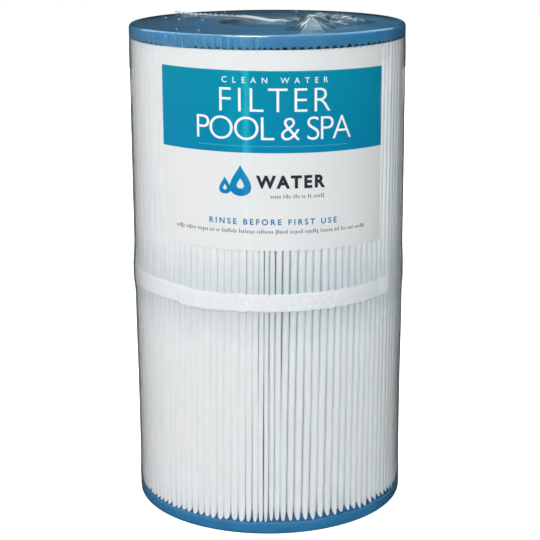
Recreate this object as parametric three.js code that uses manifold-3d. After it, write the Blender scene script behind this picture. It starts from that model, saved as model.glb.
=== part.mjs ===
// A pleated water filter cartridge for a spa, shrink-wrapped as it is sold.
// Millimetres, +Z up. The origin is the centre of the bottom, on the surface that the cartridge
// stands on, and the middle of the label faces -Y. Angles run from -Y towards +X.
//
// A pleated strip of spunbonded polyester stands round a two-part lattice core. Both ends are
// potted in cast end caps, each with a round hole that slides over the filter standpipe. A strap,
// bonded by glue beads, spaces the pleat tips at mid-height. A printed card lies on the pleats,
// and a shrink film bag, seamed across the top and open underneath, holds it there.

import * as THREE from "three";
import { mergeVertices } from "three/addons/utils/BufferGeometryUtils.js";
import Module from "manifold-3d";

const wasm = await Module();
wasm.setup();

// Driving dimensions
const CAP_RADIUS = 76.2; // 6 inch cartridge
const CARTRIDGE_LENGTH = 273; // 10 3/4 inch over the end caps
const BORE_RADIUS = 27; // 2 1/8 inch hole for the standpipe
const PLEAT_COUNT = 114;
const GAP = 0.3; // clearance between neighbouring pieces

// Shrink film
const FILM = 0.3; // film thickness
const FILM_HEM_ANGLE = -50; // degrees: how far the film turns in round the base's edge
const FILM_SLOPE = 9; // height over which the film leaves the strap

// End caps
const CAP_PLATE = 4; // thickness of the flat end
const CAP_SKIRT_HEIGHT = 8; // depth of the side wall, flat end included
const CAP_SKIRT = 0.6; // thickness of the wall round the pleat tips
const CAP_SLEEVE = 0.9; // thickness of the wall inside the core
const CAP_EDGE = 2.2; // radius of the outer edge

// Heights
const POT_LOW = CAP_PLATE + GAP; // lower end of the pleats and the core
const POT_HIGH = CARTRIDGE_LENGTH - CAP_PLATE - GAP; // their upper end
const SKIRT_LOW_Z = CAP_SKIRT_HEIGHT;
const SKIRT_HIGH_Z = CARTRIDGE_LENGTH - CAP_SKIRT_HEIGHT;

// Pleats
const MEDIA = 0.6; // thickness of the pleated sheet
const PLEAT_TIP_RADIUS = CAP_RADIUS - CAP_SKIRT - GAP;
const PLEAT_FOLD_RADIUS = 31.4; // inner folds, just clear of the core
const PLEAT_TIP_WIDTH = 2.7;
const PLEAT_SHOULDER = 1; // how far below the tip a pleat reaches its full width
const SEAM_ANGLE = -3.4; // degrees: where the two ends of the pleated strip meet
const SEAM_GLUE_FROM = 58; // radius at which the glue between the two ends begins
const SEAM_GLUE_TO = 71; // and ends

// Core
const CORE_OUTER = 31; // to the corners of its section
const CORE_INNER = 28.9;
const CORE_COLUMNS = 12;
const CORE_ROWS = 7; // windows up each half
const CORE_FLAT = 24; // degrees: width of a window column's flat
const WINDOW_WIDTH = 11.2;
const CORE_RING = 5; // height of the ring between two windows
const SPIGOT = 5; // how far the lower half plugs into the upper one
const SPIGOT_WALL = 1;

// Strap and its glue
const STRAP_WIDTH = 9.8;
const STRAP = 0.5; // thickness
const STRAP_MID_Z = 133.2; // middle of the strap at its outer end
const STRAP_RISE = 1.3; // how much higher it comes back after one turn
const STRAP_START = -39; // degrees: where the outer end lies
const STRAP_LAP = 14; // degrees of overlap
const STRAP_STEP_IN = 6; // degrees over which the outer layer comes down beside the overlap
const BEAD_WIDTH = 1.6;
const BEAD = 0.2; // thickness of a glue bead
const BEAD_OFFSET = 2.7; // from the strap's middle line
const BEAD_TURN = 350; // degrees: a bead stops short of its own start
const LAP_GLUE = 0.1; // thickness
const LAP_GLUE_TURN = 8; // degrees

// Label
const LABEL = 0.3; // thickness of the card
const LABEL_START = -46; // degrees
const LABEL_END = 52;
const LABEL_LOW_Z = 160.5;
const LABEL_HIGH_Z = SKIRT_HIGH_Z - GAP;

// Fineness of round shapes
const ROUND_STEPS = 60;
const EDGE_STEPS = 3; // per arc of an edge radius
const STRAP_STEPS = 100;
const BEAD_STEPS = 60;
const LAP_GLUE_STEPS = 3;
const LABEL_STEPS = 20;

const rad = THREE.MathUtils.degToRad;
const polar = (radius, angle, z) => [radius * Math.sin(angle), -radius * Math.cos(angle), z];

// Booleans

function toSolid(geometry) {
  const bare = geometry.index ? geometry.toNonIndexed() : geometry.clone();
  bare.deleteAttribute("normal");
  bare.deleteAttribute("uv");
  const merged = mergeVertices(bare, 1e-4);
  return new wasm.Manifold(
    new wasm.Mesh({
      numProp: 3,
      vertProperties: merged.attributes.position.array,
      triVerts: new Uint32Array(merged.index.array),
    }),
  );
}

function toGeometry(solid) {
  const made = solid.getMesh();
  return new THREE.BufferGeometry()
    .setAttribute("position", new THREE.BufferAttribute(made.vertProperties, 3))
    .setIndex(new THREE.BufferAttribute(made.triVerts, 1));
}

// Shapes

// A solid of revolution about Z, from [radius, z] points that run counter-clockwise round the
// section. They start and end on the axis, or come back to the first point.
function revolved(profile) {
  const points = profile.map(([r, z]) => new THREE.Vector2(r, z));
  return new THREE.LatheGeometry(points, ROUND_STEPS).rotateX(Math.PI / 2);
}

// Points of an arc about a centre, from one angle to another in degrees.
function arc(centre, radius, from, to) {
  return Array.from({ length: EDGE_STEPS + 1 }, (_, i) => {
    const angle = rad(from + ((to - from) * i) / EDGE_STEPS);
    return [centre[0] + radius * Math.cos(angle), centre[1] + radius * Math.sin(angle)];
  });
}

// A flat outline, of [x, y] points, made solid between two heights.
function upright(outline, low, high) {
  const shape = new THREE.Shape(outline.map(([x, y]) => new THREE.Vector2(x, y)));
  const options = { depth: high - low, bevelEnabled: false };
  return new THREE.ExtrudeGeometry(shape, options).translate(0, 0, low);
}

// A strip that runs round the axis from one angle in degrees to another. radius(along) and
// middle(along) give its inner radius and its height, along being degrees from its start.
function strip(from, turn, count, radius, middle, width, thickness) {
  const sections = Array.from({ length: count + 1 }, (_, i) => {
    const along = (turn * i) / count;
    const angle = rad(from + along);
    const low = middle(along) - width / 2;
    const inner = radius(along);
    return [
      polar(inner, angle, low),
      polar(inner + thickness, angle, low),
      polar(inner + thickness, angle, low + width),
      polar(inner, angle, low + width),
    ];
  });
  const index = [];
  const last = (sections.length - 1) * 4;
  for (let i = 0; i < last; i += 4) {
    for (let k = 0; k < 4; k++) {
      const a = i + k;
      const b = i + ((k + 1) % 4);
      index.push(a, a + 4, b, b, a + 4, b + 4);
    }
  }
  index.push(0, 1, 2, 0, 2, 3, last, last + 2, last + 1, last, last + 3, last + 2);
  return new THREE.BufferGeometry()
    .setAttribute("position", new THREE.Float32BufferAttribute(sections.flat(2), 3))
    .setIndex(index);
}

// End caps

// The profile of a cap, flat side down at z = 0: a plate with a wall round the pleats and a
// sleeve inside the core.
function capProfile() {
  const wall = CAP_RADIUS - CAP_SKIRT;
  const sleeve = BORE_RADIUS + CAP_SLEEVE;
  return [
    [BORE_RADIUS, 0],
    ...arc([CAP_RADIUS - CAP_EDGE, CAP_EDGE], CAP_EDGE, -90, 0),
    [CAP_RADIUS, CAP_SKIRT_HEIGHT],
    [wall, CAP_SKIRT_HEIGHT],
    [wall, CAP_PLATE],
    [sleeve, CAP_PLATE],
    [sleeve, CAP_SKIRT_HEIGHT],
    [BORE_RADIUS, CAP_SKIRT_HEIGHT],
    [BORE_RADIUS, 0],
  ];
}

function bottomCap() {
  return revolved(capProfile());
}

function topCap() {
  return revolved(capProfile()).rotateX(Math.PI).translate(0, 0, CARTRIDGE_LENGTH);
}

// Pleats

// A point at a radius and at a distance across from an angle in radians.
const beside = (radius, angle, across) => polar(radius, angle + across / radius, 0).slice(0, 2);

// The strip's section: round along its outer side from end to end, and back along its inner
// side. The two ends stand wall to wall in one valley, with a gap between them.
function pleatedOutline() {
  const step = (2 * Math.PI) / PLEAT_COUNT;
  const seam = rad(SEAM_ANGLE);
  const shoulder = PLEAT_TIP_RADIUS - PLEAT_SHOULDER;
  const inside = shoulder - MEDIA / 2;
  const half = PLEAT_TIP_WIDTH / 2;
  const outer = [beside(PLEAT_FOLD_RADIUS, seam, GAP / 2)];
  const inner = [beside(PLEAT_FOLD_RADIUS, seam, MEDIA)];
  for (let i = 0; i < PLEAT_COUNT; i++) {
    const tip = seam + (i + 0.5) * step;
    outer.push(beside(shoulder, tip, -half), beside(PLEAT_TIP_RADIUS, tip, 0), beside(shoulder, tip, half));
    inner.push(beside(inside, tip, MEDIA - half), beside(inside, tip, half - MEDIA));
    if (i < PLEAT_COUNT - 1) {
      const valley = seam + (i + 1) * step;
      outer.push(beside(PLEAT_FOLD_RADIUS + MEDIA, valley, 0));
      inner.push(beside(PLEAT_FOLD_RADIUS, valley, -MEDIA), beside(PLEAT_FOLD_RADIUS, valley, MEDIA));
    }
  }
  outer.push(beside(PLEAT_FOLD_RADIUS, seam, -GAP / 2));
  inner.push(beside(PLEAT_FOLD_RADIUS, seam, -MEDIA));
  return [...outer, ...inner.reverse()];
}

// The bead of hot-melt that joins the strip's two end walls, a wedge in the valley between them.
function seamGlue() {
  const pitch = (2 * Math.PI * PLEAT_TIP_RADIUS) / PLEAT_COUNT;
  const depth = PLEAT_TIP_RADIUS - PLEAT_FOLD_RADIUS;
  const half = (r) => (((pitch - PLEAT_TIP_WIDTH) / 2) * (r - PLEAT_FOLD_RADIUS)) / depth - GAP;
  const corner = (r, side) => beside(r, rad(SEAM_ANGLE), side * half(r));
  const outline = [
    corner(SEAM_GLUE_FROM, -1),
    corner(SEAM_GLUE_TO, -1),
    corner(SEAM_GLUE_TO, 1),
    corner(SEAM_GLUE_FROM, 1),
  ];
  return upright(outline, SKIRT_LOW_Z + GAP, SKIRT_HIGH_Z - GAP);
}

// Core

// An upright prism with a flat for each column of windows.
function corePrism(radius, low, high) {
  const corners = [];
  for (let k = 0; k < CORE_COLUMNS; k++) {
    const middle = (360 / CORE_COLUMNS) * k;
    for (const side of [-1, 1]) {
      corners.push(polar(radius, rad(middle + (side * CORE_FLAT) / 2), 0).slice(0, 2));
    }
  }
  return toSolid(upright(corners, low, high));
}

// The windows between two heights, with a ring left above and below each row.
function coreWindows(low, high) {
  const pitch = (high - low - CORE_RING) / CORE_ROWS;
  const windowHeight = pitch - CORE_RING;
  const depth = 4 * (CORE_OUTER - CORE_INNER);
  const windows = [];
  for (let row = 0; row < CORE_ROWS; row++) {
    for (let column = 0; column < CORE_COLUMNS; column++) {
      const box = new THREE.BoxGeometry(WINDOW_WIDTH, depth, windowHeight);
      box.translate(0, -(CORE_OUTER + CORE_INNER) / 2, low + CORE_RING + pitch * row + windowHeight / 2);
      windows.push(toSolid(box.rotateZ((2 * Math.PI * column) / CORE_COLUMNS)));
    }
  }
  return wasm.Manifold.union(windows);
}

const CORE_JOINT_Z = CARTRIDGE_LENGTH / 2; // top of the spigot
const CORE_SHOULDER_Z = CORE_JOINT_Z - SPIGOT; // where the two walls meet

function lowerCore() {
  const wall = corePrism(CORE_OUTER, POT_LOW, CORE_SHOULDER_Z);
  const spigot = corePrism(CORE_INNER + SPIGOT_WALL, CORE_SHOULDER_Z - CORE_RING / 2, CORE_JOINT_Z);
  const bore = corePrism(CORE_INNER, 0, CARTRIDGE_LENGTH);
  return toGeometry(wall.add(spigot).subtract(bore).subtract(coreWindows(POT_LOW, CORE_SHOULDER_Z)));
}

function upperCore() {
  const wall = corePrism(CORE_OUTER, CORE_SHOULDER_Z + GAP, POT_HIGH);
  const socket = corePrism(CORE_INNER + SPIGOT_WALL + GAP, 0, CORE_JOINT_Z + GAP);
  const bore = corePrism(CORE_INNER, 0, CARTRIDGE_LENGTH);
  return toGeometry(wall.subtract(socket).subtract(bore).subtract(coreWindows(CORE_JOINT_Z + GAP, POT_HIGH)));
}

// Strap

const BEAD_RADIUS = PLEAT_TIP_RADIUS + GAP;
const STRAP_RADIUS = BEAD_RADIUS + BEAD + GAP;
const STRAP_LAP_RADIUS = STRAP_RADIUS + STRAP + 2 * GAP + LAP_GLUE;
const STRAP_INNER_END = STRAP_START + STRAP_LAP;

// How high the strap's middle line runs at a number of degrees along from its outer end.
const strapMiddle = (along) => STRAP_MID_Z + (STRAP_RISE * along) / 360;

// From the outer end, over the overlap, down beside it, and round underneath its own start.
function strap() {
  const radius = (along) => {
    const down = THREE.MathUtils.clamp((along - STRAP_LAP) / STRAP_STEP_IN, 0, 1);
    return THREE.MathUtils.lerp(STRAP_LAP_RADIUS, STRAP_RADIUS, down);
  };
  const turn = 360 + STRAP_LAP;
  return strip(STRAP_START, turn, STRAP_STEPS, radius, strapMiddle, STRAP_WIDTH, STRAP);
}

// A bead of glue between the strap's inner layer and the pleat tips.
function strapBead(offset) {
  const start = STRAP_INNER_END + STRAP_STEP_IN;
  const middle = (along) => strapMiddle(along + start - STRAP_START) + offset;
  const turn = BEAD_TURN - STRAP_STEP_IN;
  return strip(start, turn, BEAD_STEPS, () => BEAD_RADIUS, middle, BEAD_WIDTH, BEAD);
}

// The glue under the strap's outer end, on the layer below it.
function lapGlue() {
  const inset = (STRAP_LAP - LAP_GLUE_TURN) / 2;
  const middle = (along) => strapMiddle(along + inset) + STRAP_RISE / 2;
  const radius = () => STRAP_RADIUS + STRAP + GAP;
  const start = STRAP_START + inset;
  return strip(start, LAP_GLUE_TURN, LAP_GLUE_STEPS, radius, middle, STRAP_WIDTH / 2, LAP_GLUE);
}

// Label

function label() {
  const inner = PLEAT_TIP_RADIUS + GAP;
  const side = (radius) =>
    Array.from({ length: LABEL_STEPS + 1 }, (_, i) => {
      const angle = rad(LABEL_START + ((LABEL_END - LABEL_START) * i) / LABEL_STEPS);
      return polar(radius, angle, 0).slice(0, 2);
    });
  const outline = [...side(inner + LABEL), ...side(inner).reverse()];
  return upright(outline, LABEL_LOW_Z, LABEL_HIGH_Z);
}

// Film

const FILM_RADIUS = CAP_RADIUS + GAP; // inner side of the film
const FILM_TOP_Z = CARTRIDGE_LENGTH + GAP; // its underside over the top cap
const FILM_STRAP_RADIUS = STRAP_LAP_RADIUS + STRAP + GAP; // where it bulges over the strap

// The seam across the top, from the rim to where its end bunched up, and the ear in front of it.
const SEAM_RIM_END = [-43, 57.5];
const SEAM_BUNCHED_END = [15, 1.5];
const FIN_HEIGHT = 1.4;
const FIN_THICKNESS = 0.6;
const EAR_APEX = [21.5, -48];
const EAR_HEIGHT = 7.7;
const EAR_FOOT = [
  [17, -68],
  [30, -62],
  [36, -50],
  [31, -39],
  [18, -38],
  [12, -52],
];

// The film's side, from hem to top: its inner face, or its outer face when out is FILM.
function filmSide(out) {
  const corner = CAP_EDGE + GAP + out;
  const middle = CAP_RADIUS - CAP_EDGE;
  const strapLow = STRAP_MID_Z - STRAP_WIDTH / 2 - GAP;
  const strapHigh = STRAP_MID_Z + STRAP_WIDTH / 2 + STRAP_RISE + GAP;
  return [
    ...arc([middle, CAP_EDGE], corner, FILM_HEM_ANGLE, 0),
    [FILM_RADIUS + out, strapLow - FILM_SLOPE],
    [FILM_STRAP_RADIUS + out, strapLow],
    [FILM_STRAP_RADIUS + out, strapHigh],
    [FILM_RADIUS + out, strapHigh + FILM_SLOPE],
    ...arc([middle, CARTRIDGE_LENGTH - CAP_EDGE], corner, 0, 90),
  ];
}

// A peak over the ear's foot, drawn in towards its apex by a factor.
function earPeak(factor, base, height) {
  const [x, y] = EAR_APEX;
  const foot = EAR_FOOT.map(([u, v]) => [x + (u - x) * factor, y + (v - y) * factor, base]);
  const top = foot.length;
  const index = foot.flatMap((_, i) => {
    const next = (i + 1) % foot.length;
    return [i, next, top, next, i, top + 1];
  });
  const points = [...foot, [x, y, FILM_TOP_Z + height], [x, y, base]];
  const geometry = new THREE.BufferGeometry()
    .setAttribute("position", new THREE.Float32BufferAttribute(points.flat(), 3))
    .setIndex(index);
  return toSolid(geometry);
}

// The seam's upright edge.
function fin() {
  const [ax, ay] = SEAM_RIM_END;
  const [bx, by] = SEAM_BUNCHED_END;
  const box = new THREE.BoxGeometry(Math.hypot(bx - ax, by - ay), FIN_THICKNESS, FIN_HEIGHT + FILM);
  box.rotateZ(Math.atan2(by - ay, bx - ax));
  return toSolid(box.translate((ax + bx) / 2, (ay + by) / 2, FILM_TOP_Z + (FIN_HEIGHT + FILM) / 2));
}

function film() {
  const bag = revolved([
    [0, FILM_TOP_Z],
    ...filmSide(0).reverse(),
    ...filmSide(FILM),
    [0, FILM_TOP_Z + FILM],
  ]);
  const ear = earPeak(1, FILM_TOP_Z + FILM / 2, EAR_HEIGHT);
  const hollow = earPeak(0.95, FILM_TOP_Z - FILM, EAR_HEIGHT - 2 * FILM);
  return toGeometry(wasm.Manifold.union([toSolid(bag), fin(), ear]).subtract(hollow));
}

// Materials

function plastic(color, roughness) {
  return new THREE.MeshStandardMaterial({ color, roughness, metalness: 0 });
}

const capBlue = plastic(0x2f7fb8, 0.45);
const mediaWhite = plastic(0xe6eaea, 0.9);
const coreWhite = plastic(0xdedbd0, 0.5);
const glueClear = plastic(0xe8e0c4, 0.35);
const cardWhite = plastic(0xeeeeec, 0.5);
const filmClear = plastic(0xffffff, 0.08);
filmClear.transparent = true;
filmClear.opacity = 0.2;

// Assembly

const cartridge = new THREE.Group();

function add(name, geometry, material) {
  const mesh = new THREE.Mesh(geometry, material);
  mesh.name = name;
  cartridge.add(mesh);
}

add("bottom_end_cap", bottomCap(), capBlue);
add("top_end_cap", topCap(), capBlue);
add("core_lower_half", lowerCore(), coreWhite);
add("core_upper_half", upperCore(), coreWhite);
add("pleated_media", upright(pleatedOutline(), POT_LOW, POT_HIGH), mediaWhite);
add("media_seam_glue", seamGlue(), glueClear);
add("spacer_strap", strap(), mediaWhite);
add("strap_glue_lower", strapBead(-BEAD_OFFSET), glueClear);
add("strap_glue_upper", strapBead(BEAD_OFFSET), glueClear);
add("strap_lap_glue", lapGlue(), glueClear);
add("label_card", label(), cardWhite);
add("shrink_film", film(), filmClear);

export default cartridge;
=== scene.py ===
# A pleated filter cartridge for a spa, shrink-wrapped as it is sold.
# Metres, +Z up. The label faces -Y, and angles are in degrees from -Y towards +X.
import math

import bmesh
import bpy
import numpy as np
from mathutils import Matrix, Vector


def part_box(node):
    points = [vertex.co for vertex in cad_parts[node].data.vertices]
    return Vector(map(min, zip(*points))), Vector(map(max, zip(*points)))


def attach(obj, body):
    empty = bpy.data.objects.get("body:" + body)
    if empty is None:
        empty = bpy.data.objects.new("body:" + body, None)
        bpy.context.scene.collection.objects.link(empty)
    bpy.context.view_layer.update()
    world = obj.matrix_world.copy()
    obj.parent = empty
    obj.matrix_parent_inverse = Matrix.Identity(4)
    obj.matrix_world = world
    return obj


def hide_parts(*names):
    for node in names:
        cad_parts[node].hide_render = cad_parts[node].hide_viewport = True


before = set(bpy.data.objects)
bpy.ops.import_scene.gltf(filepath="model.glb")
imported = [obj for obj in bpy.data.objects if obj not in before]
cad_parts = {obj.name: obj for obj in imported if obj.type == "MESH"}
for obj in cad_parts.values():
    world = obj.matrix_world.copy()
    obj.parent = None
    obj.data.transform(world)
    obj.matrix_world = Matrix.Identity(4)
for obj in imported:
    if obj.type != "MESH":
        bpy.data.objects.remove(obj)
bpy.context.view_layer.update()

MM = 0.001

# Overall sizes of the pieces
CAP_RADIUS, _, SKIRT_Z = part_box("bottom_end_cap")[1]
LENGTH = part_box("top_end_cap")[1].z
(_, _, MEDIA_LOW), (TIP_RADIUS, _, MEDIA_HIGH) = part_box("pleated_media")
STRAP_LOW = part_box("spacer_strap")[0].z
(_, _, LABEL_LOW), (_, _, LABEL_HIGH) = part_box("label_card")

# Pleats
PLEATS = 114
SEAM = -1.9  # degrees: where the two ends of the pleated strip meet
SEAM_GAP = 0.35  # degrees from there to each end
LEAN = 13.0  # degrees a metre that the pleats lean to the right on their way up
WANDER = 0.08  # degrees that each pleat strays on its own
ROOT_RADIUS = 31.9 * MM
SHEET = 0.45 * MM
FILL = 0.935  # share of its pitch that a pleat takes up at the tip
PACKED_FILL = 1.0  # and where the pleats are pressed together, left of the seam
TIP_DEPTH = 1.5 * MM  # of the rounded tip
PACKED_DEPTH = 0.28 * MM
SHOULDER = 3.2 * MM  # how far below the tip a pleat's sides end

# End caps
BORE_RADIUS = 27 * MM
EDGE_RADIUS = 2.0 * MM
BRIM = 6.9 * MM  # height of the bottom cap's side
LIP = 7.5 * MM  # depth of the top cap's side
RESIN_RISE = 3.3 * MM  # how far the resin is drawn up between the pleats
POCKET = 1.3 * MM  # height of the pockets under the top cap
SHALLOW = -39.0  # where the pockets are lowest

# Strap
STRAP_WIDTH = 9.8 * MM
STRAP_THICK = 0.5 * MM
STRAP_START = -39.0  # its outer end
STRAP_LAP = 14.0  # degrees of overlap
STRAP_RISE = 1.3 * MM  # in one turn
STRAP_SAG = 0.8 * MM  # how much lower it hangs at the front
BEAD_WIDTH = 1.6 * MM
BEAD_OFFSET = 2.7 * MM  # from the strap's middle line
BEAD_TURN = 344  # degrees

# Label
LABEL_START = -47.0
LABEL_END = 53.0
LABEL_TILT = 0.0155  # slope of its lower edge
LABEL_STEPS = 140  # columns of points across it
CARD = 0.22 * MM  # thickness
INK = 0.02 * MM
PANEL_LOW = 212.5 * MM  # the coloured panel
PANEL_HIGH = 254.9 * MM

# Film
FILM = 0.06 * MM  # thickness
FILM_RADIUS = 76.65 * MM
WAIST = 0.45 * MM  # how far the film draws in above the bottom cap
SLACK = 0.25 * MM  # between the film and the sides of the caps
LID = 0.08 * MM  # between the film and the flat top
DECK = LENGTH + LID  # height of the film on the flat top
SEAM_FROM = (-53.0 * MM, 52.0 * MM)  # of the film's own seam, across the top
SEAM_TO = (12.0 * MM, -3.0 * MM)
EAR_APEX = (21.8 * MM, -55.0 * MM)  # of the film's peak near the front rim
EAR_FOOT = [(17.5, -70), (29.5, -69), (37, -44), (30, -32), (20, -31), (14.5, -43)]  # millimetres
EAR_HEIGHT = 8.3 * MM

# Camera
CAMERA_AT = (0.35 * MM, -0.8578, 0.3526)
CAMERA_DOWN = 14.4957  # degrees that it looks down
CAMERA_ROLL = 0.286
CAMERA_TURN = -0.105
CAMERA_LENS = 102.4  # millimetres, for a sensor 36 wide

TAU = 2 * math.pi


# -------- mesh helpers


def around(radius, degrees, z):
    """Points at a radius, angle and height, as one array."""
    a = np.radians(degrees)
    return np.stack(np.broadcast_arrays(radius * np.sin(a), -radius * np.cos(a), z), -1)


def ripple(seed, turns, angle, across=(0, 1), z=0, count=14):
    """Smooth noise of about unit size that closes on itself round the axis. turns and across are
    the fewest and most waves in a turn and in a metre of height."""
    rng = np.random.default_rng(seed)
    total = 0.0
    for _ in range(count):
        k = rng.integers(turns[0], turns[1] + 1)
        m = rng.uniform(*across) * rng.choice([-1, 1])
        total = total + np.cos(k * np.radians(angle) + TAU * m * z + rng.uniform(0, TAU))
    return total * math.sqrt(2 / count)


def smooth(t):
    """0 below 0, 1 above 1, and an even curve between."""
    t = np.clip(t, 0, 1)
    return t * t * (3 - 2 * t)


def rise(length, reach):
    """The same curve, from 0 at no length to 1 at a number of millimetres."""
    return smooth(length / (reach * MM))


def distances(path):
    """How far each point of a path lies along it."""
    steps = np.linalg.norm(np.diff(path, axis=0), axis=1)
    return np.concatenate([[0], np.cumsum(steps)])


def signed(degrees):
    """The same direction, from -180 to 180."""
    return (degrees + 180) % 360 - 180


def put(name, data):
    """A new object in the scene."""
    made = bpy.data.objects.new(name, data)
    bpy.context.scene.collection.objects.link(made)
    return made


def make(name, points, faces, mat, slot, stands_for=None, smooth_shade=True):
    """A piece of the cartridge, in place of a plainer one where it stands for that."""
    mesh = bpy.data.meshes.new(name)
    mesh.from_pydata(points.reshape(-1, 3).tolist(), [], faces)
    mesh.polygons.foreach_set("use_smooth", [smooth_shade] * len(mesh.polygons))
    mesh.materials.append(mat)
    mesh.update()
    mesh.set_sharp_from_angle(angle=math.radians(40))
    piece = put(name, mesh)
    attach(piece, "root")
    if stands_for:
        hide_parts(stands_for)
    return piece


def quads(first, nu, nv, wrap_u=False, wrap_v=False, flip=False):
    """Faces of a grid of nu by nv points whose numbers start at first."""
    i = np.arange(nu if wrap_u else nu - 1)[:, None]
    j = np.arange(nv if wrap_v else nv - 1)[None, :]
    i2, j2 = (i + 1) % nu, (j + 1) % nv
    ring = [i * nv + j, i2 * nv + j, i2 * nv + j2, i * nv + j2]
    corners = [np.broadcast_to(c, (i.size, j.size)) for c in ring]
    faces = np.stack(corners, -1).reshape(-1, 4) + first
    return (faces[:, ::-1] if flip else faces).tolist()


def border(row, n):
    """Faces that join a row of point numbers to the row n further on."""
    return [[a, a + n, b + n, b] for a, b in zip(row, row[1:])]


def shell(outer, inner, wrap=False):
    """A closed thin body between two grids. Its first index runs round, its second upwards."""
    nu, nv = outer.shape[:2]
    n = nu * nv
    faces = quads(0, nu, nv, wrap_u=wrap) + quads(n, nu, nv, wrap_u=wrap, flip=True)
    columns = [k % nu for k in range(nu + 1)] if wrap else list(range(nu))
    low = [k * nv for k in columns]
    high = [k * nv + nv - 1 for k in columns]
    faces += border(low, n) + border(high[::-1], n)
    if not wrap:
        left = list(range(nv))
        right = [(nu - 1) * nv + k for k in range(nv)]
        faces += border(left[::-1], n) + border(right, n)
    return np.concatenate([outer.reshape(-1, 3), inner.reshape(-1, 3)]), faces


def weld(piece):
    """Joins points that coincide, such as a grid's last row where it closes to one point."""
    bm = bmesh.new()
    bm.from_mesh(piece.data)
    bmesh.ops.remove_doubles(bm, verts=bm.verts, dist=0.002 * MM)
    bmesh.ops.recalc_face_normals(bm, faces=bm.faces)
    bm.to_mesh(piece.data)
    bm.free()


# -------- materials
# A value here is a node together with the name of one of its outputs.


def feed(mat, socket, given):
    """Sets a socket to a constant, or links a value to it."""
    if isinstance(given, tuple) and isinstance(given[0], bpy.types.Node):
        source, output = given
        mat.node_tree.links.new(source.outputs[output], socket)
    else:
        socket.default_value = given


def node(mat, kind, inputs=(), **settings):
    """A new node, with what its inputs are given."""
    made = mat.node_tree.nodes.new("ShaderNode" + kind)
    for key, setting in settings.items():
        setattr(made, key, setting)
    for key, given in dict(inputs).items():
        feed(mat, made.inputs[key], given)
    return made


def paint(mat, socket, given):
    """Gives a socket of the material's main shader a constant or a value."""
    feed(mat, mat.node_tree.nodes["Principled BSDF"].inputs[socket], given)


def node_material(name, base, roughness, **sockets):
    mat = bpy.data.materials.new(name)
    mat.use_nodes = True
    paint(mat, "Base Color", (*base, 1))
    paint(mat, "Roughness", roughness)
    for socket, setting in sockets.items():
        paint(mat, socket.replace("_", " "), setting)
    return mat


def place(mat, stretch=(1, 1, 1)):
    """Object coordinates, scaled."""
    where = (node(mat, "TexCoord"), "Object")
    return node(mat, "Mapping", {"Vector": where, "Scale": stretch}), "Vector"


def axis_value(mat, axis):
    """One object coordinate."""
    return node(mat, "SeparateXYZ", {"Vector": place(mat)}), axis


def radius_value(mat):
    """The distance from the cartridge's axis."""
    flat = {0: place(mat, (1, 1, 0))}
    return node(mat, "VectorMath", flat, operation="LENGTH"), "Value"


def grain(mat, scale, detail, stretch=(1, 1, 1)):
    """Noise, finer along an axis with a larger stretch."""
    inputs = {"Vector": place(mat, stretch), "Scale": scale, "Detail": detail}
    return node(mat, "TexNoise", inputs), "Fac"


def maths(mat, operation, *terms):
    """Arithmetic on values and constants."""
    inputs = dict(enumerate(terms))
    return node(mat, "Math", inputs, operation=operation), "Value"


def span(mat, value, low, high, least=0.0, most=1.0):
    """A value that goes from least to most as another one goes from low to high."""
    inputs = {"Value": value, "From Min": low, "From Max": high, "To Min": least, "To Max": most}
    return node(mat, "MapRange", inputs), "Result"


def colour_between(mat, value, low, high):
    """A colour that turns from low to high as a value goes from 0 to 1."""
    inputs = {0: value, 6: (*low, 1), 7: (*high, 1)}
    return node(mat, "Mix", inputs, data_type="RGBA"), 2


def tint(mat, noise, dark, light):
    """Colours the base from dark to light by noise."""
    ramp = node(mat, "ValToRGB", {"Fac": grain(mat, *noise)})
    for end, (position, colour) in enumerate(((0.3, dark), (0.7, light))):
        ramp.color_ramp.elements[end].position = position
        ramp.color_ramp.elements[end].color = (*colour, 1)
    paint(mat, "Base Color", (ramp, "Color"))


def multiply(mat, value, colour, low, high):
    """Multiplies the base by a colour where a value is at low, and not at all at high."""
    shade = colour_between(mat, span(mat, value, low, high), colour, (1, 1, 1))
    both = node(mat, "Mix", data_type="RGBA", blend_type="MULTIPLY")
    base = mat.node_tree.nodes["Principled BSDF"].inputs["Base Color"]
    mat.node_tree.links.new(base.links[0].from_socket, both.inputs[6])
    feed(mat, both.inputs[0], 1)
    feed(mat, both.inputs[7], shade)
    paint(mat, "Base Color", (both, 2))


def far_rim(mat, elsewhere, rim):
    """A value that changes from one to the other along the back edge of the top, the mask for shade
    painted there.
    """
    back = span(mat, axis_value(mat, "Y"), -5 * MM, 25 * MM, elsewhere, rim)
    return span(mat, radius_value(mat), 66 * MM, 69 * MM, elsewhere, back)


def tint_near(mat, colour, axis, middle, near, far, ragged=0.0):
    """Multiplies the base by a colour within a distance of some place on one axis."""
    beside = maths(mat, "SUBTRACT", axis_value(mat, axis), middle)
    away = maths(mat, "ABSOLUTE", beside)
    noise = grain(mat, 260, 3, (1, 1, 0.5))
    rough = maths(mat, "MULTIPLY_ADD", noise, ragged, away)
    multiply(mat, rough, colour, near + ragged / 2, far + ragged / 2)


def bump(mat, noise, depth, strength=1.0, under=None):
    """Relief by noise on the surface, added to any relief under it."""
    inputs = {"Height": grain(mat, *noise), "Distance": depth, "Strength": strength}
    if under:
        inputs["Normal"] = under
    relief = node(mat, "Bump", inputs), "Normal"
    paint(mat, "Normal", relief)
    return relief


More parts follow.
